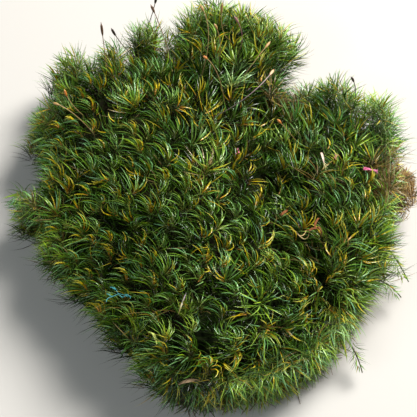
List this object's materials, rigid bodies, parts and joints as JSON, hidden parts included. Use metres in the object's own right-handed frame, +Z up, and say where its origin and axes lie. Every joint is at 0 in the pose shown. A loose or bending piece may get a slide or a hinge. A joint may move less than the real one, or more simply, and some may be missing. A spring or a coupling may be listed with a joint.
{
  "type": "clump of broom moss",
  "caption": "Domed clump of upright broom moss on its mat of old stems, with spore stalks, rim tufts, stray shoots and bits of woodland litter.",
  "frame": {"origin": "centre of the clump's box, on the plane of the flat cut underside of the mat", "axes": "+Z up out of the ground, +Y towards the clump's narrow tuft (away from the viewer), +X to the viewer's right"},
  "size_m": [0.1512, 0.1578, 0.0567],
  "materials": {
    "living_moss": "satin, fine leaves",
    "dead_moss": "matt, dry leaves",
    "mat": "matt, felted old stems and soil",
    "stalk": "smooth, slightly glossy",
    "bark": "matt",
    "dry_leaf": "matt",
    "lichen": "matt",
    "fibre": "matt"
  },
  "bodies": {
    "root": {"mat_of_old_stems": "mat", "cushion_main": "living_moss", "cushion_east": "living_moss", "cushion_north": "living_moss", "tuft_north_west": "living_moss", "tuft_top_left": "living_moss", "tuft_far_left": "living_moss", "tuft_left_tip": "living_moss", "tuft_back": "living_moss", "tuft_notch": "living_moss", "tuft_right": "living_moss", "stray_shoot_1": "living_moss", "stray_shoot_2": "living_moss", "stray_shoot_3": "living_moss", "dead_tuft_right": "dead_moss", "spore_stalk_01": "stalk", "spore_stalk_02": "stalk", "spore_stalk_03": "stalk", "spore_stalk_04": "stalk", "spore_stalk_05": "stalk", "spore_stalk_06": "stalk", "spore_stalk_07": "stalk", "spore_stalk_08": "stalk", "spore_stalk_09": "stalk", "spore_stalk_10": "stalk", "spore_stalk_11": "stalk", "spore_stalk_12": "stalk", "spore_stalk_13": "stalk", "spore_stalk_14": "stalk", "spore_stalk_15": "stalk", "bark_flake_small": "bark", "bark_flake_large": "bark", "dry_husk": "dry_leaf", "curled_leaf": "dry_leaf", "grey_leaf": "dry_leaf", "dry_blade": "dry_leaf", "dry_straw": "dry_leaf", "lichen_sprig": "lichen", "pink_fibre": "fibre"}
  },
  "joints": []
}
